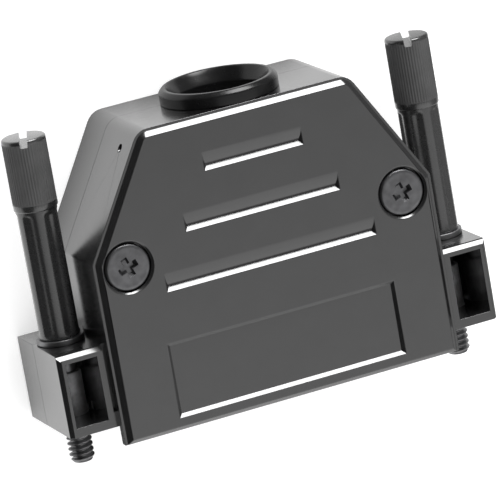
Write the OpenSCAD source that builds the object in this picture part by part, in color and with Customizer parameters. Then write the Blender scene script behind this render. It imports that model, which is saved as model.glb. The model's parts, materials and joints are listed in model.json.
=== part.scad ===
// Hood for a 25-way subminiature D connector. Two moulded half shells close
// round the connector's flange and the cable and are held by two cover screws.
// Two long captive thumbscrews in the ears fasten the plug to its mate.
// X runs across the hood, Y towards the cable and Z out of the front panel.
// The origin is midway between the thumbscrews, in the plane that the
// connector's flange seats on.

/* [Connector] */
// Distance between the two thumbscrew axes
screw_pitch = 47.04; // [46.9:0.02:47.2]
// Height of the connector's flange, with room to slip between the aprons
flange_gap = 12.7; // [12.5:0.1:12.8]

/* [Body] */
// Width of the body at the connector end
body_w = 41.4; // [41.0:0.1:41.5]
// Width of the body at the cable end
top_w = 25.6; // [25:0.1:26.2]
// Height of the shoulders, where the sides turn inwards
shoulder_y = 18.9; // [18.6:0.1:20]
// Height of the cable end
top_y = 32.4; // [32:0.1:34]
// Reach of the aprons past the flange plane
apron = 2.1; // [1:0.1:2.5]
// Face of the front panel
front_z = 7.8; // [7.6:0.1:8.2]
// Back face, on which the hood lies
back_z = -7.0; // [-7.4:0.1:-6.9]
// Plane in which the two shells meet
split_z = -1.4; // [-1.6:0.05:-1.2]
// Thickness of the walls
wall = 1.5; // [1.3:0.1:1.6]
// Bevel round the raised front panel
panel_bevel = 0.55; // [0.3:0.05:0.7]

/* [Finger grips] */
// Height of the lowest grip's ledge
grip_y = 13.82; // [13.5:0.1:14.5]
// Distance from one ledge to the next
grip_step = 6.15; // [6:0.05:6.2]
// Half length of the lowest ledge
grip_half = 12.4; // [11:0.1:12.6]
// Depth of each scoop at its ledge
grip_depth = 0.5; // [0.3:0.05:0.7]

/* [Ears] */
// Width across both ears
ear_w = 52.9; // [52.6:0.1:53.2]
// Height of the ears
ear_h = 9.55; // [9.2:0.05:9.8]
// Depth of the ears, front to back
ear_d = 12.6; // [12.4:0.1:12.8]
// Thickness of an ear's top and bottom plates
ear_plate = 1.05; // [0.9:0.05:1.2]

/* [Thumbscrews] */
// Height of the slotted end of the grips
grip_top = 33.3; // [32:0.1:35]
// Radius of the plain head of a grip
head_r = 2.5; // [2.45:0.05:2.6]
// Length of the plain head of a grip
head_h = 8.2; // [7:0.1:10]
// Radius of the fluted shaft of a grip
shaft_r = 2.35; // [2.3:0.05:2.4]
// Radius of the 4-40 thread over its crests
thread_r = 1.42; // [1.40:0.01:1.43]
// Reach of the thread past the flange plane
thread_reach = 4.6; // [4:0.1:6]
// Radius of the neck held by the ear's top plate
neck_r = 1.15; // [1.1:0.05:1.2]
// How far a thumbscrew can be drawn back
travel = 2.4; // [1:0.1:2.4]

/* [Cable entry] */
// Radius of the grommet's bore
cable_r = 5.0; // [4.6:0.1:5.0]
// Outer radius of the grommet's collar
collar_r = 6.75; // [6.6:0.05:6.8]
// Height of the collar above the cable end
collar_h = 1.7; // [1.4:0.1:2.2]

/* [Hidden] */

SHELL = [0.20, 0.20, 0.21];
RUBBER = [0.09, 0.09, 0.10];
STEEL = [0.62, 0.62, 0.64];
DARK_STEEL = [0.30, 0.30, 0.32];

$fn = 48;
over = 1;           // overlap of cutters past the faces they cut
fit_gap = 0.05;     // radial clearance of a running fit
seat_gap = 0.03;    // gap between faces of parts that move apart

left = -1;
right = 1;
screw_x = screw_pitch / 2;

// body
panel_lift = 0.6;                        // height of the raised panel
panel_inset = 0.3;                       // ledge left round the panel's foot
body_z = front_z - panel_lift;           // face that the panel stands on
ceiling_z = front_z - wall;              // inside of the front wall
floor_z = back_z + wall;                 // inside of the back wall
lean = (top_w - body_w) / 2 / (top_y - shoulder_y);   // slope of a shoulder
skew = norm([1, lean]);                  // edge length for each unit of height
shoulder_round = 0.8;
top_round = 2.2;
lip_z = 5.5;                             // seat for the connector's flange
lip_h = 1.4;
bead = 0.75;                             // tongue inside the parting line
dimple_y = 30.2;                         // small blind hole in each sloping side
dimple_z = 4.2;
dimple_r = 0.45;
dimple_depth = 0.8;

// grips on the front panel
grip_shorter = 3.41;                     // each ledge is this much shorter
grip_run = grip_depth;                   // width of the sloping ledge
grip_length = 2.15;                      // from ledge to the scoop's end
grip_end = 0.45;                         // slope at both ends

// name plate
plate_w = 28;
plate_y = -0.6;
plate_h = 8.7;
plate_depth = 0.35;
plate_slope = 0.4;

// ears
ear_x = ear_w / 2;
ear_z = ear_d / 2;
window_in = 21.8;                        // inner side of the window
window_out = 25.6;
ear_top_bevel = 0.5;
ear_side_bevel = 0.45;
relief_w = 0.3;                          // groove beside the body
relief_d = 0.8;
relief_y = 1.8;
ear_back = 1.2;                          // back wall of an ear
notch = 0.9;                             // small catch pocket in an ear
notch_y = 0.3;                           // above the bottom plate
notch_z = 1.3;

// thumbscrews
washer_r = 2.7;
washer_h = 0.6;
washer_bore = neck_r + fit_gap;
washer_y = ear_h + seat_gap;
grip_y0 = washer_y + washer_h + seat_gap;   // lower end of a moulded grip
shaft_h = grip_top - head_h - grip_y0;
core_r = 1.5;
core_top = 20;
shank_r = 1.6;
shank_bevel = 0.25;
shank_y = ear_h - ear_plate - travel - seat_gap;
tip = 0.4;
shoulder = 0.2;                          // bearing face on the connector's flange
slot_w = 0.9;
slot_h = 0.8;
slot_turn = -20;                         // where the slots stop when screwed in
flutes = 6;
flute_r = 1.0;
flute_depth = 0.4;
flute_end = 0.3;                         // plain stretch at each end of the flutes
grip_bevel = 0.2;
head_bevel = 0.4;

// cover screws
cover_x = 16.8;
cover_y = 17.75;
cover_head_r = 2.7;
cover_head_h = 1.3;
cover_recess_r = 2.8;
cover_recess = 1.4;
cover_chamfer = 0.25;                    // bevel round a recess
cover_shank_r = 1.25;
cover_hole_r = 1.35;
cover_boss_r = 3.0;
nut_af = 5.0;                            // width across flats
nut_h = 2.0;
nut_sink = 0.5;                          // nut below the back face
nut_boss_r = 3.8;
cross_w = 0.75;
cross_l = 2.4;
cross_h = 0.9;
cross_turn = 20;
cross_edge = 0.3;                        // bevel of a screw head

// cable entry and clamp
entry_z = (front_z + back_z) / 2;
neck_out = cable_r + 0.6;                // grommet where the wall grips it
flange_h = 1.2;                          // flange inside the wall
rim_round = 0.45;
mouth_r = 5.9;                           // bore at the collar's rim
mouth_h = 1.5;                           // height over which the bore widens
collar_room = 0.3;
clamp_y = 24.6;                          // lower edge of the clamp bars
clamp_h = 4.2;
clamp_t = 1.1;
clamp_r = 4.1;                           // inside of the saddles
clamp_gap = 0.8;                         // between the wings
clamp_x = 8.3;
clamp_reach = 11.1;
clamp_post_r = 3.0;
clamp_head_r = 2.2;
clamp_head_h = 1.4;
clamp_wing = entry_z - clamp_gap / 2;    // inner face of the back bar's wings

// ---------- outlines ----------

// points of an arc of radius r that rounds the corner b between a and c
function corner(a, b, c, r, n = 5) =
    let (u = (a - b) / norm(a - b), v = (c - b) / norm(c - b),
         half = acos(u * v) / 2,
         m = b + (u + v) / norm(u + v) * r / sin(half),
         p = b + u * r / tan(half) - m,
         q = b + v * r / tan(half) - m,
         start = atan2(p.y, p.x),
         turn = atan2(p.x * q.y - p.y * q.x, p * q))
    [for (i = [0 : n]) m + r * [cos(start + turn * i / n), sin(start + turn * i / n)]];

// the body's outline, moved inwards by d and cut off at y0
function outline(d, y0) =
    let (side = body_w / 2 - d,
         knee = shoulder_y + d * (skew - 1) / lean,
         top = top_y - d,
         end = body_w / 2 - d * skew + lean * (top - shoulder_y),
         p = [[-side, y0], [side, y0], [side, knee], [end, top], [-end, top], [-side, knee]],
         rk = max(0.2, shoulder_round - d / 3),
         rt = max(0.2, top_round - 2 * d))
    concat([p[0], p[1]], corner(p[1], p[2], p[3], rk), corner(p[2], p[3], p[4], rt),
           corner(p[3], p[4], p[5], rt), corner(p[4], p[5], p[0], rk));

module slab(z0, z1) translate([0, 0, z0]) linear_extrude(z1 - z0) children();

module box(x0, x1, y0, y1, z0, z1) translate([x0, y0, z0]) cube([x1 - x0, y1 - y0, z1 - z0]);

// a shape drawn about the Y axis, starting at height y
module up_from(y) translate([0, y, 0]) rotate([-90, 0, 0]) children();

// a shape at one of the two thumbscrew axes
module at_screw(side) translate([side * screw_x, 0, 0]) children();

// a shape at one of the two cover screws
module at_cover(side) translate([side * cover_x, cover_y, 0]) children();

module hexagon(af) circle(r = af / 2 / cos(30), $fn = 6);

// ---------- shells ----------

// raised front panel with its bevel
module panel() hull() {
    slab(body_z - 0.01, front_z - panel_bevel) polygon(outline(panel_inset, -apron));
    slab(body_z, front_z) polygon(outline(panel_inset + panel_bevel, panel_bevel - apron));
}

// pocket in the front panel with sloping sides, its lower left corner at x0, y0
module pocket(x0, y0, w, h, deep, slope) intersection() {
    translate([x0 + w / 2, y0, front_z]) rotate([-90, 0, 0]) linear_extrude(h)
        polygon([[-w / 2 - over, -over], [w / 2 + over, -over], [w / 2, 0],
                 [w / 2 - slope, deep], [slope - w / 2, deep], [-w / 2, 0]]);
    translate([x0, y0, front_z]) rotate([90, 0, 90]) linear_extrude(w)
        polygon([[0, 0], [slope, -deep], [h - slope, -deep], [h, 0], [h, over], [0, over]]);
}

// finger scoop: a ledge at y and a floor that curves up to the panel
module scoop(y, half) intersection() {
    translate([-half - grip_end, y, front_z]) rotate([90, 0, 90]) linear_extrude(2 * (half + grip_end))
        polygon(concat([[0, over], [0, 0], [grip_run, -grip_depth]],
            [for (i = [1 : 6]) let (t = i / 6)
                [grip_run + (grip_length - grip_run) * t, -grip_depth * (1 - t) * (1 - t)]],
            [[grip_length, over]]));
    translate([0, y - over, front_z]) rotate([-90, 0, 0]) linear_extrude(grip_length + 2 * over)
        polygon([[-half - grip_end, -over], [half + grip_end, -over], [half + grip_end, 0],
                 [half, grip_depth], [-half, grip_depth], [-half - grip_end, 0]]);
}

// block of one ear between two heights, with the bevels of its front edges
module ear_block(side, z0, z1) mirror([side == left ? 1 : 0, 0, 0]) difference() {
    box(body_w / 2 - 0.5, ear_x, 0, ear_h, z0, z1);
    translate([ear_x, ear_h, ear_z]) rotate([45, 0, 0])
        cube([2 * (ear_x - body_w / 2), 2 * ear_top_bevel, 2 * ear_top_bevel / sqrt(2)], center = true);
    translate([ear_x, 0, ear_z]) rotate([0, 45, 0])
        cube([2 * ear_side_bevel / sqrt(2), 4 * ear_h, 2 * ear_side_bevel / sqrt(2)], center = true);
}

// hollow of an ear, and the slot that takes a thumbscrew's neck
module ear_hollow(side, z0, z1) mirror([side == left ? 1 : 0, 0, 0]) {
    box(window_in, window_out, ear_plate, ear_h - ear_plate, z0, z1);
    translate([screw_x, ear_h / 2, 0]) rotate([90, 0, 0])
        cylinder(r = neck_r + fit_gap, h = ear_h + 2 * over, center = true);
    box(screw_x - neck_r - fit_gap, screw_x + neck_r + fit_gap, ear_plate + over, ear_h + over,
        split_z - over, 0);
}

// passage for the thread through the ear's bottom plate
module thread_slot(side) at_screw(side) {
    up_from(-over) cylinder(r = shank_r + fit_gap, h = ear_plate + 2 * over);
    box(-shank_r - fit_gap, shank_r + fit_gap, -over, ear_plate + over, split_z - over, 0);
}

// relief beside the body and the small pocket in an ear's inner wall
module ear_details(side) mirror([side == left ? 1 : 0, 0, 0]) {
    box(body_w / 2, body_w / 2 + relief_w, relief_y, ear_h + over, ear_z - relief_d, ear_z + over);
    box(window_in - notch, window_in + over, ear_plate + notch_y, ear_plate + notch_y + notch,
        notch_z, notch_z + notch);
}

// round passage that grips the grommet's neck, with room for its inner flange
module entry_cut() translate([0, 0, entry_z])
    up_from(top_y - wall - over) cylinder(r = neck_out, h = wall + 2 * over);

// space between the aprons for the connector's flange
module flange_cut(z0, z1) box(-ear_x, ear_x, -apron - over, 0, z0, z1);

module front_shell() color(SHELL) difference() {
    union() {
        difference() {
            slab(split_z, body_z) polygon(outline(0, -apron));
            slab(split_z - over, ceiling_z) polygon(outline(wall, -apron - over));
        }
        panel();
        box(1 - body_w / 2, body_w / 2 - 1, 0, lip_h, lip_z, ceiling_z + 0.1);
        for (side = [left, right]) {
            at_cover(side) slab(split_z, ceiling_z + 0.1) circle(r = cover_boss_r);
            ear_block(side, split_z, ear_z);
        }
    }
    flange_cut(split_z - over, flange_gap / 2);
    for (side = [left, right]) {
        ear_hollow(side, split_z - over, ear_z + over);
        thread_slot(side);
        ear_details(side);
        at_cover(side) {
            slab(front_z - cover_recess, front_z + over) circle(r = cover_recess_r);
            translate([0, 0, front_z - cover_chamfer])
                cylinder(r1 = cover_recess_r, r2 = cover_recess_r + 2 * cover_chamfer,
                    h = 2 * cover_chamfer);
            slab(split_z - over, front_z) circle(r = cover_hole_r);
        }
        translate([side * (body_w / 2 + lean * (dimple_y - shoulder_y)), dimple_y, dimple_z])
            rotate([0, side * 90, 0]) cylinder(r = dimple_r, h = 2 * dimple_depth, center = true);
    }
    for (i = [0 : 2]) scoop(grip_y + i * grip_step, grip_half - i * grip_shorter);
    pocket(-plate_w / 2, plate_y, plate_w, plate_h, plate_depth, plate_slope);
    entry_cut();
}

// tongue that stands up inside the front shell's walls
module tongue() difference() {
    slab(split_z - over, split_z + bead) difference() {
        polygon(outline(wall + fit_gap, 0.4));
        polygon(outline(wall + fit_gap + bead, 0.4 - over));
    }
    for (side = [left, right])
        at_cover(side) slab(split_z, front_z) circle(r = cover_boss_r + 0.2);
    translate([0, 0, entry_z]) up_from(top_y - 5) cylinder(r = collar_r + collar_room, h = 6);
}

module back_shell() color(SHELL) difference() {
    union() {
        difference() {
            slab(back_z, split_z) polygon(outline(0, -apron));
            slab(floor_z, split_z + over) polygon(outline(wall, -apron - over));
        }
        box(1 - body_w / 2, body_w / 2 - 1, 0, lip_h, floor_z - 0.1, -lip_z + 0.01);
        tongue();
        for (side = [left, right]) {
            at_cover(side) slab(back_z + 0.5, split_z) circle(r = nut_boss_r);
            ear_block(side, -ear_z, split_z);
            translate([side * clamp_x, clamp_y + clamp_h / 2, 0])
                slab(floor_z - 0.1, clamp_wing - clamp_t) circle(r = clamp_post_r);
        }
    }
    flange_cut(-flange_gap / 2, split_z + over);
    for (side = [left, right]) {
        ear_hollow(side, ear_back - ear_z, split_z + over);
        thread_slot(side);
        at_cover(side) {
            slab(back_z - over, back_z + nut_sink + nut_h) hexagon(nut_af + 0.1);
            slab(back_z, split_z + over) circle(r = cover_hole_r);
        }
        translate([side * clamp_x, clamp_y + clamp_h / 2, 0]) {
            slab(clamp_wing - clamp_t - nut_h, 0) hexagon(nut_af + 0.1);
            slab(floor_z + 0.3, 0) circle(r = cover_hole_r);
        }
    }
    entry_cut();
}

// ---------- cable entry ----------

// soft bushing that the shells close on, with flats where it meets their walls
module cable_grommet() color(RUBBER) translate([0, 0, entry_z]) difference() {
    union() {
        intersection() {
            up_from(top_y - wall - flange_h) cylinder(r = collar_r, h = flange_h);
            box(-collar_r, collar_r, 0, top_y, floor_z - entry_z + 0.1, ceiling_z - entry_z - 0.1);
        }
        up_from(top_y - wall - 0.1) cylinder(r = neck_out, h = wall + 0.2);
        up_from(top_y) rotate_extrude() polygon([[0, 0], [collar_r, 0], [collar_r, collar_h - rim_round],
            [collar_r - rim_round, collar_h], [0, collar_h]]);
    }
    up_from(top_y - 5) cylinder(r = cable_r, h = 8);
    up_from(top_y + collar_h - mouth_h) cylinder(r1 = cable_r, r2 = mouth_r, h = mouth_h);
    up_from(top_y + collar_h - 0.01) cylinder(r = mouth_r, h = over);
}

// one clamp bar: a saddle with a wing at each side; dir is 1 for the front bar
module clamp_bar(dir) color(STEEL) translate([0, clamp_y, entry_z]) rotate([-90, 0, 0])
    difference() {
        linear_extrude(clamp_h) difference() {
            union() {
                circle(r = clamp_r + clamp_t);
                translate([-clamp_reach, dir > 0 ? -clamp_t - clamp_gap / 2 : clamp_gap / 2])
                    square([2 * clamp_reach, clamp_t]);
            }
            circle(r = clamp_r);
            translate([-2 * clamp_reach, dir > 0 ? -clamp_gap / 2 : clamp_gap / 2 - 2 * clamp_reach])
                square([4 * clamp_reach, 2 * clamp_reach]);
        }
        for (side = [left, right]) translate([side * clamp_x, 0, clamp_h / 2]) rotate([90, 0, 0])
            cylinder(r = cover_hole_r, h = 4 * clamp_r, center = true);
    }

module clamp_bar_front() clamp_bar(1);
module clamp_bar_back() clamp_bar(-1);

// ---------- fasteners ----------

// cross-recessed screw whose head's underside is at z = 0 and whose shank runs down
module cross_screw(head_radius, head_height, shank, length) difference() {
    union() {
        rotate_extrude() polygon([[0, 0], [head_radius, 0], [head_radius, head_height - cross_edge],
            [head_radius - cross_edge, head_height], [0, head_height]]);
        slab(-length, 0.1) circle(r = shank);
    }
    for (turn = [0, 90]) rotate(turn + cross_turn)
        box(-cross_l / 2, cross_l / 2, -cross_w / 2, cross_w / 2,
            head_height - cross_h, head_height + over);
}

module cover_screw(side) color(DARK_STEEL) at_cover(side)
    translate([0, 0, front_z - cover_recess])
        cross_screw(cover_head_r, cover_head_h, cover_shank_r, front_z - cover_recess - back_z - nut_sink);

module clamp_screw(side) color(STEEL)
    translate([side * clamp_x, clamp_y + clamp_h / 2, clamp_wing + clamp_gap + clamp_t])
        cross_screw(clamp_head_r, clamp_head_h, cover_shank_r, 2 * clamp_t + clamp_gap + nut_h + over);

module nut() linear_extrude(nut_h) difference() {
    hexagon(nut_af);
    circle(r = cover_shank_r + 0.02);
}

module cover_nut(side) color(STEEL) at_cover(side) translate([0, 0, back_z + nut_sink]) nut();

module clamp_nut(side) color(STEEL)
    translate([side * clamp_x, clamp_y + clamp_h / 2, clamp_wing - clamp_t - nut_h]) nut();

module cover_screw_left() cover_screw(left);
module cover_screw_right() cover_screw(right);
module cover_nut_left() cover_nut(left);
module cover_nut_right() cover_nut(right);
module clamp_screw_left() clamp_screw(left);
module clamp_screw_right() clamp_screw(right);
module clamp_nut_left() clamp_nut(left);
module clamp_nut_right() clamp_nut(right);

// ---------- thumbscrews ----------

// moulded grip: slotted plain head on a fluted shaft, with a bore for the steel core
module thumb_grip(side) color(SHELL) at_screw(side) difference() {
    up_from(grip_y0) rotate_extrude() polygon([[core_r, 0],
        [shaft_r - grip_bevel, 0], [shaft_r, grip_bevel], [shaft_r, shaft_h],
        [head_r, shaft_h + grip_bevel], [head_r, shaft_h + head_h - head_bevel],
        [head_r - head_bevel, shaft_h + head_h], [0, shaft_h + head_h],
        [0, core_top - grip_y0], [core_r, core_top - grip_y0]]);
    for (i = [0 : flutes - 1]) rotate([0, i * 360 / flutes, 0])
        translate([shaft_r + flute_r - flute_depth, 0, 0])
            up_from(grip_y0 + flute_end) cylinder(r = flute_r, h = shaft_h - 2 * flute_end);
    rotate([0, slot_turn, 0])
        box(-slot_w / 2, slot_w / 2, grip_top - slot_h, grip_top + over, -head_r - over, head_r + over);
}

// steel jackscrew: thread, shank, neck in the ear's top plate, core inside the grip
module jackscrew(side) color(DARK_STEEL) at_screw(side) up_from(-thread_reach)
    rotate_extrude() polygon([[0, 0], [thread_r - tip, 0], [thread_r, tip],
        [thread_r, thread_reach], [shank_r, thread_reach + shoulder],
        [shank_r, thread_reach + shank_y - shank_bevel], [shank_r - shank_bevel, thread_reach + shank_y],
        [neck_r, thread_reach + shank_y], [neck_r, thread_reach + grip_y0],
        [core_r, thread_reach + grip_y0], [core_r, thread_reach + core_top],
        [0, thread_reach + core_top]]);

module screw_washer(side) color(DARK_STEEL) at_screw(side) up_from(washer_y) linear_extrude(washer_h)
    difference() {
        circle(r = washer_r);
        circle(r = washer_bore);
    }

module thumb_grip_left() thumb_grip(left);
module thumb_grip_right() thumb_grip(right);
module jackscrew_left() jackscrew(left);
module jackscrew_right() jackscrew(right);
module screw_washer_left() screw_washer(left);
module screw_washer_right() screw_washer(right);

front_shell();
back_shell();
cable_grommet();
cover_screw_left();
cover_screw_right();
cover_nut_left();
cover_nut_right();
clamp_bar_front();
clamp_bar_back();
clamp_screw_left();
clamp_screw_right();
clamp_nut_left();
clamp_nut_right();
thumb_grip_left();
thumb_grip_right();
jackscrew_left();
jackscrew_right();
screw_washer_left();
screw_washer_right();
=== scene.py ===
import json
import math

import bmesh
import bpy
from mathutils import Matrix, Vector


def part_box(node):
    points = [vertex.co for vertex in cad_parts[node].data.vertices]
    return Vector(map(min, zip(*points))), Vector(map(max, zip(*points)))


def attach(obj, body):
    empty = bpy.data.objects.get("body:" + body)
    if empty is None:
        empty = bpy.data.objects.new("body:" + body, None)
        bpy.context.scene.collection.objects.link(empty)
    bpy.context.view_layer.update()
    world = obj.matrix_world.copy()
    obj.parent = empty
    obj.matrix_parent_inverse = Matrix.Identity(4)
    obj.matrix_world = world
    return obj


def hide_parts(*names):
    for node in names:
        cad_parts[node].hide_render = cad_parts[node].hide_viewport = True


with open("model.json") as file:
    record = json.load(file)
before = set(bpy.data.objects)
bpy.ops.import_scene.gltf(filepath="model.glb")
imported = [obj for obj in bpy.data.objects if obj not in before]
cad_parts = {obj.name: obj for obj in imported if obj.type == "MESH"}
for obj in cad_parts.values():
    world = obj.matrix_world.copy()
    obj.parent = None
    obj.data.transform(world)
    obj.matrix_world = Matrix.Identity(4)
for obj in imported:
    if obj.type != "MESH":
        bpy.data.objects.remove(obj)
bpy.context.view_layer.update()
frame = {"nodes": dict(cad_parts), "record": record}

NODES = frame["nodes"]
MM = 0.001
TAU = 2 * math.pi
SIDES = ("left", "right")


# ---------- places and sizes, from the frame ----------

THREAD_R = frame["record"]["mounts"][0]["dims"]["stud_r_mm"] * MM
FLOOR_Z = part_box("back_shell")[0].z


# ---------- sizes that the frame doesn't give ----------

# radii of rounded edges
SHELL_EDGE = 0.05 * MM
RUBBER_EDGE = 0.12 * MM
HARDWARE_EDGE = 0.12 * MM
BAR_EDGE = 0.15 * MM
WASHER_EDGE = 0.08 * MM

# angles between faces, in degrees
ROUNDED_FROM = 30          # sharper edges of a CAD node are rounded
CURVED_FROM = 12           # bends from here to ROUNDED_FROM belong to a curve
SHARP_FROM = 35            # sharper edges of a finished mesh are shaded sharp
FLAT_BELOW = 0.3           # flatter edges are dissolved
WELD = 0.002 * MM

# cover screws
HEAD_H = 1.3 * MM
HEAD_EDGE = 0.42 * MM
HEAD_FOOT = 0.12 * MM
HEAD_DOME = ((0.035 * MM, 0.80), (0.01 * MM, 0.62), (0, 0.4), (0, 0))   # drop, share of the radius
SCREW_R = 1.25 * MM
SCREW_TIP = 0.3 * MM
CROSS_TURN = 20
CROSS_WIDE = (1.2 * MM, 0.40 * MM)       # reach and half width of an arm, at the top
CROSS_NARROW = (0.80 * MM, 0.24 * MM)    # and at the bottom
CROSS_DEPTH = 0.5 * MM
CROSS_OVER = 0.02 * MM
HEAD_SEGMENTS = 96

# moulded grips
GRIP_HEAD_H = 8.2 * MM
GRIP_STEP = 0.15 * MM      # the head's radius is this much larger than the shaft's
GRIP_EDGE = 0.28 * MM
GRIP_FOOT = ((0, 0.15 * MM), (0.04 * MM, 0.04 * MM), (0.15 * MM, 0))   # rise, drop from the shaft's radius
GRIP_NECK = ((0.05 * MM, 0.04 * MM), (0.14 * MM, 0))                   # rise, drop from the head's radius
SHAFT_END = 0.03 * MM
GRIP_SEGMENTS = 288
GRIP_SHARP = 40            # degrees
CORE_R = 1.5 * MM
FLUTES = 6
FLUTE_DEPTH = 0.20 * MM
FLUTE_SHARE = 0.75
FLUTE_TURN = {"left": 0.25, "right": 0.99}
FLUTE_END = 0.3 * MM
FLUTE_FADE = 0.5 * MM
KNURLS = 48
KNURL_DEPTH = 0.06 * MM
KNURL_FADE = 0.25 * MM
KNURL_FOOT = 0.75 * MM     # plain stretches below and above the knurl
KNURL_TOP = 0.45 * MM
KNURL_SKIN = 0.9           # knurled faces lie outside this share of the head's radius
SLOT_W = 0.9 * MM
SLOT_H = 0.8 * MM
SLOT_CORNER = 0.1 * MM
SLOT_TURN = -20

# jackscrews
PITCH = 0.635 * MM
THREAD_DEPTH = 0.39 * MM
THREAD_LEAD = 0.55 * MM    # the thread grows to full depth over this, from the tip
THREAD_RUN_OUT = 0.5 * MM  # and fades away over this, below the seat
THREAD_START = 0.04 * MM
THREAD_END = 0.05 * MM
THREAD_CREST = 1.35        # over 1, so that the crests are flat
THREAD_FLANK = 3.4         # the fall of a flank, in depths for each pitch
THREAD_ROWS = 12           # for each pitch
THREAD_SHARP = 40          # degrees
SCREW_SEGMENTS = 72
TIP_BEVEL = 0.1 * MM
SHANK_TOP = 6.07 * MM
SHANK_BEVEL = 0.25 * MM
NECK_R = 1.15 * MM
SEAT_BEVEL = (0.05 * MM, 0.06 * MM)      # rise, drop from the shank's radius
SEAT_TOP = 0.2 * MM


# ---------- node trees ----------

class Tree:
    """Short names for the nodes of one node tree."""

    def __init__(self, tree):
        self.nodes, self.links = tree.nodes, tree.links

    def feed(self, socket, value):
        """Links another node's output to socket, or sets its value."""
        if isinstance(value, bpy.types.NodeSocket):
            self.links.new(value, socket)
        else:
            socket.default_value = value

    def make(self, kind, *inputs, **settings):
        """A node with its inputs in order, where None leaves one as it is. A setting is an
        input's name, or else a property of the node."""
        made = self.nodes.new(kind)
        for key, value in settings.items():
            if key in made.inputs:
                self.feed(made.inputs[key], value)
            else:
                setattr(made, key, value)
        for i, value in enumerate(inputs):
            if value is not None:
                self.feed(made.inputs[i], value)
        return made

    def math(self, operation, a, b):
        return self.make("ShaderNodeMath", a, b, operation=operation).outputs[0]

    def ramp(self, value, low, high, smooth=True):
        """0 at low, 1 at high, and clamped outside."""
        kind = "SMOOTHSTEP" if smooth else "LINEAR"
        return self.make("ShaderNodeMapRange", value, low, high, 0.0, 1.0,
                         interpolation_type=kind, clamp=True).outputs["Result"]

    def between(self, value, low, high, soft):
        """1 from low to high, and falling to 0 over soft outside."""
        rise = self.ramp(value, low - soft, low)
        fall = self.ramp(value, high + soft, high)
        return self.math("MULTIPLY", rise, fall)

    def noise(self, per_mm, detail=3.0, stretch=(1, 1, 1)):
        """Noise with per_mm cells in each millimetre, in the object's own coordinates."""
        place = self.make("ShaderNodeTexCoord")
        scale = self.make("ShaderNodeMapping", place.outputs["Object"], Scale=[s / MM for s in stretch])
        pattern = self.make("ShaderNodeTexNoise", scale.outputs["Vector"], Scale=per_mm, Detail=detail)
        return pattern.outputs["Fac"]


# ---------- materials ----------

NOISE_SPAN = (0.3, 0.7)    # most of a noise texture's values lie here

# noise cells in each millimetre, for colour, gloss and grain, and the grain's height
PLASTIC_CELLS = (0.35, 1.6, 9.0)
PLASTIC_GRAIN = 0.0006 * MM
STEEL_CELLS = (0.9, 3.0, 6.0)
STEEL_GRAIN = 0.0008 * MM


def new_material(name, base, roughness, metallic=0.0, ior=1.5):
    """A Principled material with the values that are the same all over the surface."""
    mat = bpy.data.materials.new(name)
    mat.use_nodes = True
    shader = mat.node_tree.nodes["Principled BSDF"]
    shader.inputs["Base Color"].default_value = (*base, 1)
    shader.inputs["Roughness"].default_value = roughness
    shader.inputs["Metallic"].default_value = metallic
    shader.inputs["IOR"].default_value = ior
    return mat, Tree(mat.node_tree), shader


def vary_colour(tree, shader, fac, base, spread):
    """The base colour runs with fac, from darker than base to lighter than base."""
    ramp = tree.make("ShaderNodeValToRGB", fac)
    for element, position, factor in zip(ramp.color_ramp.elements, NOISE_SPAN, (1 - spread, 1 + spread)):
        element.position = position
        element.color = (*[c * factor for c in base], 1)
    tree.feed(shader.inputs["Base Color"], ramp.outputs["Color"])


def vary_roughness(tree, shader, fac, low, high):
    span = tree.make("ShaderNodeMapRange", fac, *NOISE_SPAN, low, high)
    tree.feed(shader.inputs["Roughness"], span.outputs["Result"])


def add_bump(tree, shader, fac, height):
    bump = tree.make("ShaderNodeBump", Strength=1.0, Distance=height, Height=fac)
    tree.feed(shader.inputs["Normal"], bump.outputs["Normal"])


def plastic(name, base, low, high, ior=1.5, coat=0.0):
    """Moulded plastic or rubber: slow cloudy variation, uneven gloss and a very fine grain,
    with a glossy moulding skin where coat is 1."""
    mat, tree, shader = new_material(name, base, (low + high) / 2, ior=ior)
    shader.inputs["Coat Weight"].default_value = coat
    shader.inputs["Coat Roughness"].default_value = low
    shader.inputs["Coat IOR"].default_value = ior
    colour, gloss, grain = PLASTIC_CELLS
    vary_colour(tree, shader, tree.noise(colour), base, 0.15)
    vary_roughness(tree, shader, tree.noise(gloss), low, high)
    add_bump(tree, shader, tree.noise(grain, detail=2.0), PLASTIC_GRAIN)
    return mat


def steel(name, base, low, high, scratch=(1, 1, 1)):
    """Plated or oxidised steel, with fine marks along the longer cells of the noise."""
    mat, tree, shader = new_material(name, base, (low + high) / 2, metallic=1.0)
    colour, gloss, grain = STEEL_CELLS
    vary_colour(tree, shader, tree.noise(colour), base, 0.2)
    vary_roughness(tree, shader, tree.noise(gloss), low, high)
    add_bump(tree, shader, tree.noise(grain, stretch=scratch), STEEL_GRAIN)
    return mat


def make_materials():
    return {
        "shell": plastic("shell_plastic", (0.011, 0.011, 0.0113), 0.19, 0.25, ior=1.6, coat=1.0),
        "grip": plastic("grip_plastic", (0.018, 0.018, 0.0184), 0.24, 0.32, ior=1.6, coat=1.0),
        # the knurled head: the grip's own plastic, rougher and painted lighter, as painted sheen for the
        # light its fine knurl scatters
        "knurl": plastic("grip_knurl_painted_sheen", (0.062, 0.062, 0.0625), 0.45, 0.58),
        "rubber": plastic("grommet_rubber", (0.007, 0.007, 0.0072), 0.20, 0.28, ior=1.40),
        "dark": steel("dark_steel", (0.26, 0.26, 0.265), 0.38, 0.50),
        "screw": steel("screw_steel", (0.17, 0.17, 0.175), 0.36, 0.46),
        # the jackscrew's shank: the same steel as its thread, rougher and painted lighter, as painted light
        # in the ear windows
        "shank": steel("shank_painted_light_steel", (0.60, 0.60, 0.61), 0.62, 0.74, scratch=(1, 5, 1)),
        "zinc": steel("zinc_steel", (0.62, 0.62, 0.64), 0.22, 0.36, scratch=(1, 6, 1)),
    }


# ---------- meshes ----------

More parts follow.
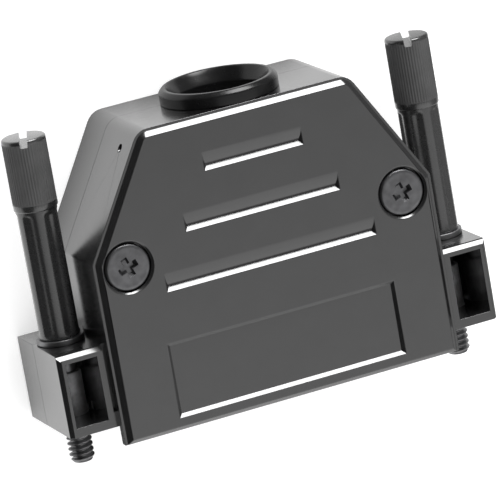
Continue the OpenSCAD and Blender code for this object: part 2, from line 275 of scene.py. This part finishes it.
def link(name, bm, material, angle=SHARP_FROM):
    """A new object from bm, shaded smooth across edges flatter than angle, or across all
    edges where angle is None."""
    mesh = bpy.data.meshes.new(name)
    bm.to_mesh(mesh)
    bm.free()
    mesh.materials.append(material)
    obj = bpy.data.objects.new(name, mesh)
    bpy.context.scene.collection.objects.link(obj)
    mesh.shade_smooth()
    if angle is not None:
        mesh.set_sharp_from_angle(angle=math.radians(angle))
    return obj


def stand_for(obj, cad_node, body):
    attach(obj, body)
    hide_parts(cad_node)
    return obj


def bake(obj):
    """Applies the modifiers of obj."""
    bpy.context.view_layer.update()
    graph = bpy.context.evaluated_depsgraph_get()
    made = bpy.data.meshes.new_from_object(obj.evaluated_get(graph))
    old = obj.data
    obj.modifiers.clear()
    obj.data = made
    bpy.data.meshes.remove(old)


def weigh_edges(bm):
    """Gives bevel weight 1 to the outer edges that are to be rounded. Those that meet a
    curve's shallow bends stay as they are, so that flat faces stay flat."""
    weight = bm.edges.layers.float.new("bevel_weight_edge")
    bends = {edge: math.degrees(edge.calc_face_angle(0)) for edge in bm.edges}
    shallow = [edge for edge, bend in bends.items() if CURVED_FROM < bend <= ROUNDED_FROM]
    curved = {vert for edge in shallow for vert in edge.verts}
    for edge, bend in bends.items():
        if bend > ROUNDED_FROM and edge.is_convex and not curved.intersection(edge.verts):
            edge[weight] = 1


def from_cad(cad_node, name, material, width):
    """A copy of a CAD node with its outer edges rounded, as a mould or a tumbler leaves
    them, and kept within the CAD node's box."""
    bm = bmesh.new()
    bm.from_mesh(NODES[cad_node].data)
    bmesh.ops.remove_doubles(bm, verts=bm.verts, dist=WELD)
    weigh_edges(bm)
    obj = link(name, bm, material, angle=None)
    bevel = obj.modifiers.new("edges", "BEVEL")
    bevel.width = width
    bevel.segments = 3
    bevel.limit_method = "WEIGHT"
    bevel.miter_outer = "MITER_SHARP"
    bevel.use_clamp_overlap = False
    bake(obj)
    bm = bmesh.new()
    bm.from_mesh(obj.data)
    bmesh.ops.dissolve_limit(bm, angle_limit=math.radians(FLAT_BELOW), verts=bm.verts, edges=bm.edges)
    for edge in bm.edges:
        edge.smooth = edge.calc_face_angle(0) < math.radians(SHARP_FROM)
    bm.to_mesh(obj.data)
    bm.free()
    normals = obj.modifiers.new("normals", "WEIGHTED_NORMAL")
    normals.keep_sharp = True
    bake(obj)
    low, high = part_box(cad_node)
    for vert in obj.data.vertices:
        vert.co = [min(max(c, lo), hi) for c, lo, hi in zip(vert.co, low, high)]
    return obj


def lathe(profile, segments, x=0.0, z=0.0, radius=None):
    """Turns a profile of (y, r) points about an axis along Y, through x and z.
    radius(y, r, angle) may change a point's radius, for ribs, flutes and threads."""
    bm = bmesh.new()
    rings = []
    for y, r in profile:
        if r == 0:
            rings.append([bm.verts.new((x, y, z))])
            continue
        ring = []
        for i in range(segments):
            angle = TAU * i / segments
            reach = radius(y, r, angle) if radius else r
            ring.append(bm.verts.new((x + reach * math.sin(angle), y, z + reach * math.cos(angle))))
        rings.append(ring)
    for low, high in zip(rings, rings[1:]):
        for i in range(segments):
            j = (i + 1) % segments
            corners = [low[i % len(low)], low[j % len(low)], high[j % len(high)], high[i % len(high)]]
            corners = [v for k, v in enumerate(corners) if v not in corners[:k]]
            if len(corners) > 2:
                bm.faces.new(corners)
    bmesh.ops.recalc_face_normals(bm, faces=bm.faces)
    return bm


def round_rim(top, r, edge, count):
    """The first count points of a rim's quarter round, which has six in all."""
    angles = [TAU / 4 * i / 5 for i in range(count)]
    return [(top - edge * (1 - math.sin(a)), r - edge * (1 - math.cos(a))) for a in angles]


def solid_between(first, second):
    """A solid between two closed outlines with as many points each."""
    bm = bmesh.new()
    rings = [[bm.verts.new(point) for point in outline] for outline in (first, second)]
    bm.faces.new(rings[0])
    bm.faces.new(rings[1])
    for i in range(len(first)):
        j = (i + 1) % len(first)
        bm.faces.new([rings[0][i], rings[0][j], rings[1][j], rings[1][i]])
    bmesh.ops.recalc_face_normals(bm, faces=bm.faces)
    return bm


def cut(obj, bm):
    """Takes the solid in bm away from obj, and applies the cut."""
    tool = link("cutter", bm, obj.data.materials[0])
    boolean = obj.modifiers.new("cut", "BOOLEAN")
    boolean.operation = "DIFFERENCE"
    boolean.solver = "EXACT"
    boolean.object = tool
    bake(obj)
    bpy.data.meshes.remove(tool.data)


# ---------- housing ----------

def make_shells(mats):
    for half in ("front", "back"):
        piece = from_cad(f"{half}_shell", f"{half}_shell_moulding", mats["shell"], SHELL_EDGE)
        stand_for(piece, f"{half}_shell", "housing")


def make_grommet(mats):
    piece = from_cad("cable_grommet", "grommet_moulding", mats["rubber"], RUBBER_EDGE)
    stand_for(piece, "cable_grommet", "housing")


def cross(reach, half):
    """Outline of a cross whose arms reach this far and are 2 * half wide."""
    outline = [(reach, half), (half, half), (half, reach)]
    outline += [(-v, u) for u, v in outline]
    return outline + [(-u, -v) for u, v in outline]


def cross_head(node_name, material):
    """A screw with a domed head and a tapered cross, standing where the CAD screw stands."""
    low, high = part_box(node_name)
    head_r, top = (high.x - low.x) / 2, high.z
    under = top - HEAD_H
    profile = [(low.z, 0), (low.z, SCREW_R - SCREW_TIP), (low.z + SCREW_TIP, SCREW_R), (under, SCREW_R),
               (under, head_r - HEAD_FOOT), (under + HEAD_FOOT, head_r)]
    profile += round_rim(top, head_r, HEAD_EDGE, 5)
    profile += [(top - drop, head_r * share) for drop, share in HEAD_DOME]
    bm = lathe(profile, HEAD_SEGMENTS)
    place = Matrix.Translation(((low.x + high.x) / 2, (low.y + high.y) / 2, 0))
    bmesh.ops.transform(bm, matrix=place @ Matrix.Rotation(TAU / 4, 4, "X"), verts=bm.verts)
    screw = link(f"{node_name}_turned", bm, material)
    turned = place @ Matrix.Rotation(math.radians(CROSS_TURN), 4, "Z")
    outlines = [[turned @ Vector((u, v, z)) for u, v in cross(*size)]
                for size, z in ((CROSS_WIDE, top + CROSS_OVER), (CROSS_NARROW, top - CROSS_DEPTH))]
    cut(screw, solid_between(*outlines))
    screw.data.set_sharp_from_angle(angle=math.radians(SHARP_FROM))
    return screw


def make_hardware(mats):
    for side in SIDES:
        name = f"cover_screw_{side}"
        stand_for(cross_head(name, mats["screw"]), name, "housing")
    for cad_node in ("cover_nut", "clamp_screw", "clamp_nut"):
        for side in SIDES:
            name = f"{cad_node}_{side}"
            piece = from_cad(name, f"{name}_detail", mats["zinc"], HARDWARE_EDGE)
            stand_for(piece, name, "housing")
    for place in ("front", "back"):
        name = f"clamp_bar_{place}"
        piece = from_cad(name, f"{name}_pressing", mats["zinc"], BAR_EDGE)
        stand_for(piece, name, "housing")


# ---------- thumbscrews ----------

def paint(obj, material, wanted):
    """Gives the faces whose middle passes wanted a second material."""
    obj.data.materials.append(material)
    index = len(obj.data.materials) - 1
    for face in obj.data.polygons:
        if wanted(face.center):
            face.material_index = index


def fade(y, low, high, run):
    """0 at low and at high, and rising to 1 over run between them."""
    return min(1, (y - low) / run, (high - y) / run)


def straight(low, high, r, run, count):
    """Profile points from low to high at radius r: four steps in each run, count between."""
    points = [low + run * i / 4 for i in range(5)]
    points += [low + run + (high - low - 2 * run) * (i + 1) / count for i in range(count)]
    points += [high - run + run * (i + 1) / 4 for i in range(4)]
    return [(y, r) for y in points]


def slot_cutter(top, reach, place):
    """The solid that cuts a screwdriver slot with rounded lower corners."""
    half, floor = SLOT_W / 2, top - SLOT_H
    outline = [(-half, floor + SLOT_CORNER), (SLOT_CORNER - half, floor), (half - SLOT_CORNER, floor),
               (half, floor + SLOT_CORNER), (half, top + MM), (-half, top + MM)]
    ends = [[place @ Vector((u, v, h)) for u, v in outline] for h in (-reach, reach)]
    return solid_between(*ends)


def make_grip(side, mats):
    """Moulded grip: knurled head with a screwdriver slot, on a shaft with broad flutes. The
    mesh is open at the foot, where the jackscrew's core fills it."""
    name = f"thumb_grip_{side}"
    low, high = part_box(name)
    x, z = (low.x + high.x) / 2, (low.z + high.z) / 2
    head_r = (high.x - low.x) / 2
    shaft_r = head_r - GRIP_STEP
    foot = low.y
    neck = high.y - GRIP_HEAD_H
    flute_low, flute_high = foot + FLUTE_END, neck - FLUTE_END
    knurl_low, knurl_high = neck + KNURL_FOOT, high.y - KNURL_TOP

    def shaped(y, r, angle):
        if flute_low <= y <= flute_high:
            depth = FLUTE_DEPTH * math.sin(fade(y, flute_low, flute_high, FLUTE_FADE) * TAU / 4)
            across = ((angle * FLUTES / TAU + FLUTE_TURN[side]) % 1 - 0.5) / FLUTE_SHARE
            return r - depth * math.cos(math.pi * across) ** 2 if abs(across) < 0.5 else r
        if knurl_low <= y <= knurl_high:
            depth = KNURL_DEPTH * fade(y, knurl_low, knurl_high, KNURL_FADE)
            return r - depth * (0.5 - 0.5 * math.cos(angle * KNURLS))
        return r

    profile = [(foot, CORE_R)] + [(foot + rise, shaft_r - drop) for rise, drop in GRIP_FOOT]
    profile += straight(flute_low, flute_high, shaft_r, FLUTE_FADE, 10)
    profile += [(neck - SHAFT_END, shaft_r)] + [(neck + rise, head_r - drop) for rise, drop in GRIP_NECK]
    profile += straight(knurl_low, knurl_high, head_r, KNURL_FADE, 6)
    profile += round_rim(high.y, head_r, GRIP_EDGE, 6) + [(high.y, 0)]
    bm = lathe(profile, GRIP_SEGMENTS, x, z, shaped)
    grip = link(f"{name}_moulding", bm, mats["grip"])
    place = Matrix.Translation((x, 0, z)) @ Matrix.Rotation(math.radians(SLOT_TURN), 4, "Y")
    cut(grip, slot_cutter(high.y, head_r + MM, place))
    grip.data.set_sharp_from_angle(angle=math.radians(GRIP_SHARP))
    # the knurled faces get the lighter copy of the grip's plastic, a painted sheen
    paint(grip, mats["knurl"], lambda middle: knurl_low < middle.y < knurl_high
          and math.hypot(middle.x - x, middle.z - z) > head_r * KNURL_SKIN)
    return grip


def make_jackscrew(side, mats):
    """Steel screw: rolled 4-40 thread, plain shank, and the neck and core that the grip hides."""
    name = f"jackscrew_{side}"
    low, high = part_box(name)
    x, z = (low.x + high.x) / 2, (low.z + high.z) / 2
    shank_r = (high.x - low.x) / 2
    root = THREAD_R - THREAD_DEPTH
    tip, seat = low.y, 0.0
    start, end = tip + THREAD_START, seat - THREAD_END
    grip_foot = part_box(f"thumb_grip_{side}")[0].y

    def threaded(y, r, angle):
        """Cuts the thread's own points, but for the last row, a thin rim below the seat."""
        if y > end - THREAD_END / 2 or r < THREAD_R:
            return r
        phase = (y / PITCH - angle / TAU) % 1
        share = min(1, max(0, THREAD_CREST - THREAD_FLANK * abs(phase - 0.5)), (y - tip) / THREAD_LEAD)
        return root + THREAD_DEPTH * share * min(1, (seat - y) / THREAD_RUN_OUT)

    rows = int((end - tip) / (PITCH / THREAD_ROWS))
    profile = [(tip, 0), (tip, root - TIP_BEVEL)]
    profile += [(start + (end - start) * i / rows, THREAD_R) for i in range(rows + 1)]
    profile += [(seat, root), (seat, THREAD_R), (seat + SEAT_BEVEL[0], shank_r - SEAT_BEVEL[1]),
                (seat + SEAT_TOP, shank_r), (SHANK_TOP - SHANK_BEVEL, shank_r),
                (SHANK_TOP - SHANK_BEVEL * 0.3, shank_r - SHANK_BEVEL * 0.3),
                (SHANK_TOP, shank_r - SHANK_BEVEL), (SHANK_TOP, NECK_R),
                (grip_foot, NECK_R), (grip_foot, CORE_R), (high.y, CORE_R), (high.y, 0)]
    bm = lathe(profile, SCREW_SEGMENTS, x, z, threaded)
    screw = link(f"{name}_turned", bm, mats["dark"], angle=THREAD_SHARP)
    # the shank gets the lighter copy of the screw's steel: painted light where it sits in the ear window
    paint(screw, mats["shank"], lambda middle: seat < middle.y < SHANK_TOP + SHANK_BEVEL)
    return screw


def make_thumbscrews(mats):
    for side in SIDES:
        stand_for(make_grip(side, mats), f"thumb_grip_{side}", f"{side}_thumbscrew")
        stand_for(make_jackscrew(side, mats), f"jackscrew_{side}", f"{side}_thumbscrew")
        washer = from_cad(f"screw_washer_{side}", f"screw_washer_{side}_pressing", mats["dark"], WASHER_EDGE)
        stand_for(washer, f"screw_washer_{side}", f"{side}_washer")


# ---------- stage ----------

# the camera, fitted to the photograph
CAMERA_AT = Vector((-0.19593, 0.16351, 0.52913))
CAMERA_UP = Vector((0.25075, 0.95188, -0.17621))
CAMERA_BACK = Vector((-0.33638, 0.25636, 0.90616))
CAMERA_SENSOR = 36         # mm
CAMERA_LENS = 372.78       # mm
CAMERA_CLIP = 0.01

# the floor, a sheet of paper
FLOOR_HALF = 1.5
FLOOR_GAP = 0.02 * MM
PAPER_COLOUR = (0.8, 0.8, 0.8)
PAPER_ROUGHNESS = 0.9
PAPER_GLOW = 0.5           # added where the camera sees it
SHEET_MIDDLE = (-0.035, -0.02, 0.0)
SHEET_REACH = 0.07         # reflections see its painted glow this far from its middle
SHEET_EDGE = 0.03
SHEET_SHADE = 0.004        # reach of the shade at the object's foot, in reflections
# the painted glow that reflections see past the sheet's edge
ROOM_FLOOR = 0.15

# the world, by the direction's components
ROOM_X = (-0.55, 0.0)      # from the dark left side to the lighter rest
ROOM_DARK = 0.03
ROOM_LIGHT = 0.27
PANEL_X = (-0.35, 0.70)
PANEL_SOFT = 0.16
PANEL_Y = (-0.14, -0.30)
PANEL_LIGHT = 0.72
STRIP_WAY = (0.336, 0.89, 0.30)
STRIP_COS = (0.945, 0.975)
STRIP_LIGHT = 12.0
SOFT_LIGHT = 0.65


def make_camera():
    """The photograph's viewpoint: a long lens before the panel, left of it and towards the
    cable end."""
    turn = Matrix((CAMERA_UP.cross(CAMERA_BACK), CAMERA_UP, CAMERA_BACK)).transposed().to_4x4()
    data = bpy.data.cameras.new("camera")
    data.sensor_width = CAMERA_SENSOR
    data.lens = CAMERA_LENS
    data.clip_start = CAMERA_CLIP
    camera = bpy.data.objects.new("camera", data)
    camera.matrix_world = Matrix.Translation(CAMERA_AT) @ turn
    bpy.context.scene.collection.objects.link(camera)
    bpy.context.scene.camera = camera


def make_floor():
    """White paper. The camera sees it white with the object's shadow. Reflections see a painted glow
    instead of the paper: bright near the object, with painted shade at its foot, and dim past its edge."""
    bm = bmesh.new()
    corners = [(-1, -1), (1, -1), (1, 1), (-1, 1)]
    bm.faces.new([bm.verts.new((x * FLOOR_HALF, y * FLOOR_HALF, FLOOR_Z - FLOOR_GAP)) for x, y in corners])
    mat, tree, shader = new_material("floor", PAPER_COLOUR, PAPER_ROUGHNESS)
    path = tree.make("ShaderNodeLightPath")
    glow = tree.math("MULTIPLY", path.outputs["Is Camera Ray"], PAPER_GLOW)
    shader.inputs["Emission Color"].default_value = (1, 1, 1, 1)
    tree.feed(shader.inputs["Emission Strength"], glow)
    # Glossy rays see painted light: an emission bright near the object, with ambient occlusion as painted
    # shade at its foot, and dim past the sheet's edge.
    place = tree.make("ShaderNodeTexCoord")
    reach = tree.make("ShaderNodeVectorMath", place.outputs["Object"], SHEET_MIDDLE, operation="DISTANCE")
    past = tree.ramp(reach.outputs["Value"], SHEET_REACH, SHEET_REACH + SHEET_EDGE)
    painted_shade_ao = tree.make("ShaderNodeAmbientOcclusion", None, SHEET_SHADE, samples=4)
    painted_sheet_light = tree.math("MULTIPLY", painted_shade_ao.outputs["AO"], tree.math("SUBTRACT", 1.0, past))
    painted_sheet_glow = tree.math("ADD", painted_sheet_light, tree.math("MULTIPLY", past, ROOM_FLOOR))
    sheet = tree.make("ShaderNodeEmission", (1, 1, 1, 1), painted_sheet_glow)
    mix = tree.make("ShaderNodeMixShader", path.outputs["Is Glossy Ray"], shader.outputs[0], sheet.outputs[0])
    tree.feed(mat.node_tree.nodes["Material Output"].inputs["Surface"], mix.outputs[0])
    link("floor", bm, mat)


def make_world():
    """The studio: a tall soft panel behind the connector end, a bright strip past the cable
    end, a room that is dark on the left, and even light for matt surfaces. The camera sees
    white."""
    world = bpy.data.worlds.new("studio")
    bpy.context.scene.world = world
    world.use_nodes = True
    world.node_tree.nodes.clear()
    tree = Tree(world.node_tree)
    way = tree.make("ShaderNodeTexCoord").outputs["Generated"]
    axes = tree.make("ShaderNodeSeparateXYZ", way)
    x, y = axes.outputs["X"], axes.outputs["Y"]
    room = tree.math("ADD", tree.math("MULTIPLY", tree.ramp(x, *ROOM_X), ROOM_LIGHT), ROOM_DARK)
    panel = tree.math("MULTIPLY", tree.between(x, *PANEL_X, PANEL_SOFT), tree.ramp(y, *PANEL_Y, smooth=False))
    panel = tree.math("MULTIPLY", panel, PANEL_LIGHT)
    near = tree.make("ShaderNodeVectorMath", way, Vector(STRIP_WAY).normalized(), operation="DOT_PRODUCT")
    strip = tree.math("MULTIPLY", tree.ramp(near.outputs["Value"], *STRIP_COS), STRIP_LIGHT)
    path = tree.make("ShaderNodeLightPath")
    soft = tree.math("MULTIPLY", path.outputs["Is Diffuse Ray"], SOFT_LIGHT)
    total = tree.math("ADD", tree.math("ADD", room, panel), tree.math("ADD", strip, soft))
    light = tree.make("ShaderNodeBackground", (1, 1, 1, 1), total)
    white = tree.make("ShaderNodeBackground", (1, 1, 1, 1), 1.0)
    mix = tree.make("ShaderNodeMixShader", path.outputs["Is Camera Ray"], light.outputs[0], white.outputs[0])
    out = tree.make("ShaderNodeOutputWorld")
    tree.feed(out.inputs["Surface"], mix.outputs[0])


def main():
    bpy.context.scene.view_settings.view_transform = "Standard"
    mats = make_materials()
    make_shells(mats)
    make_grommet(mats)
    make_hardware(mats)
    make_thumbscrews(mats)
    make_camera()
    make_floor()
    make_world()


main()
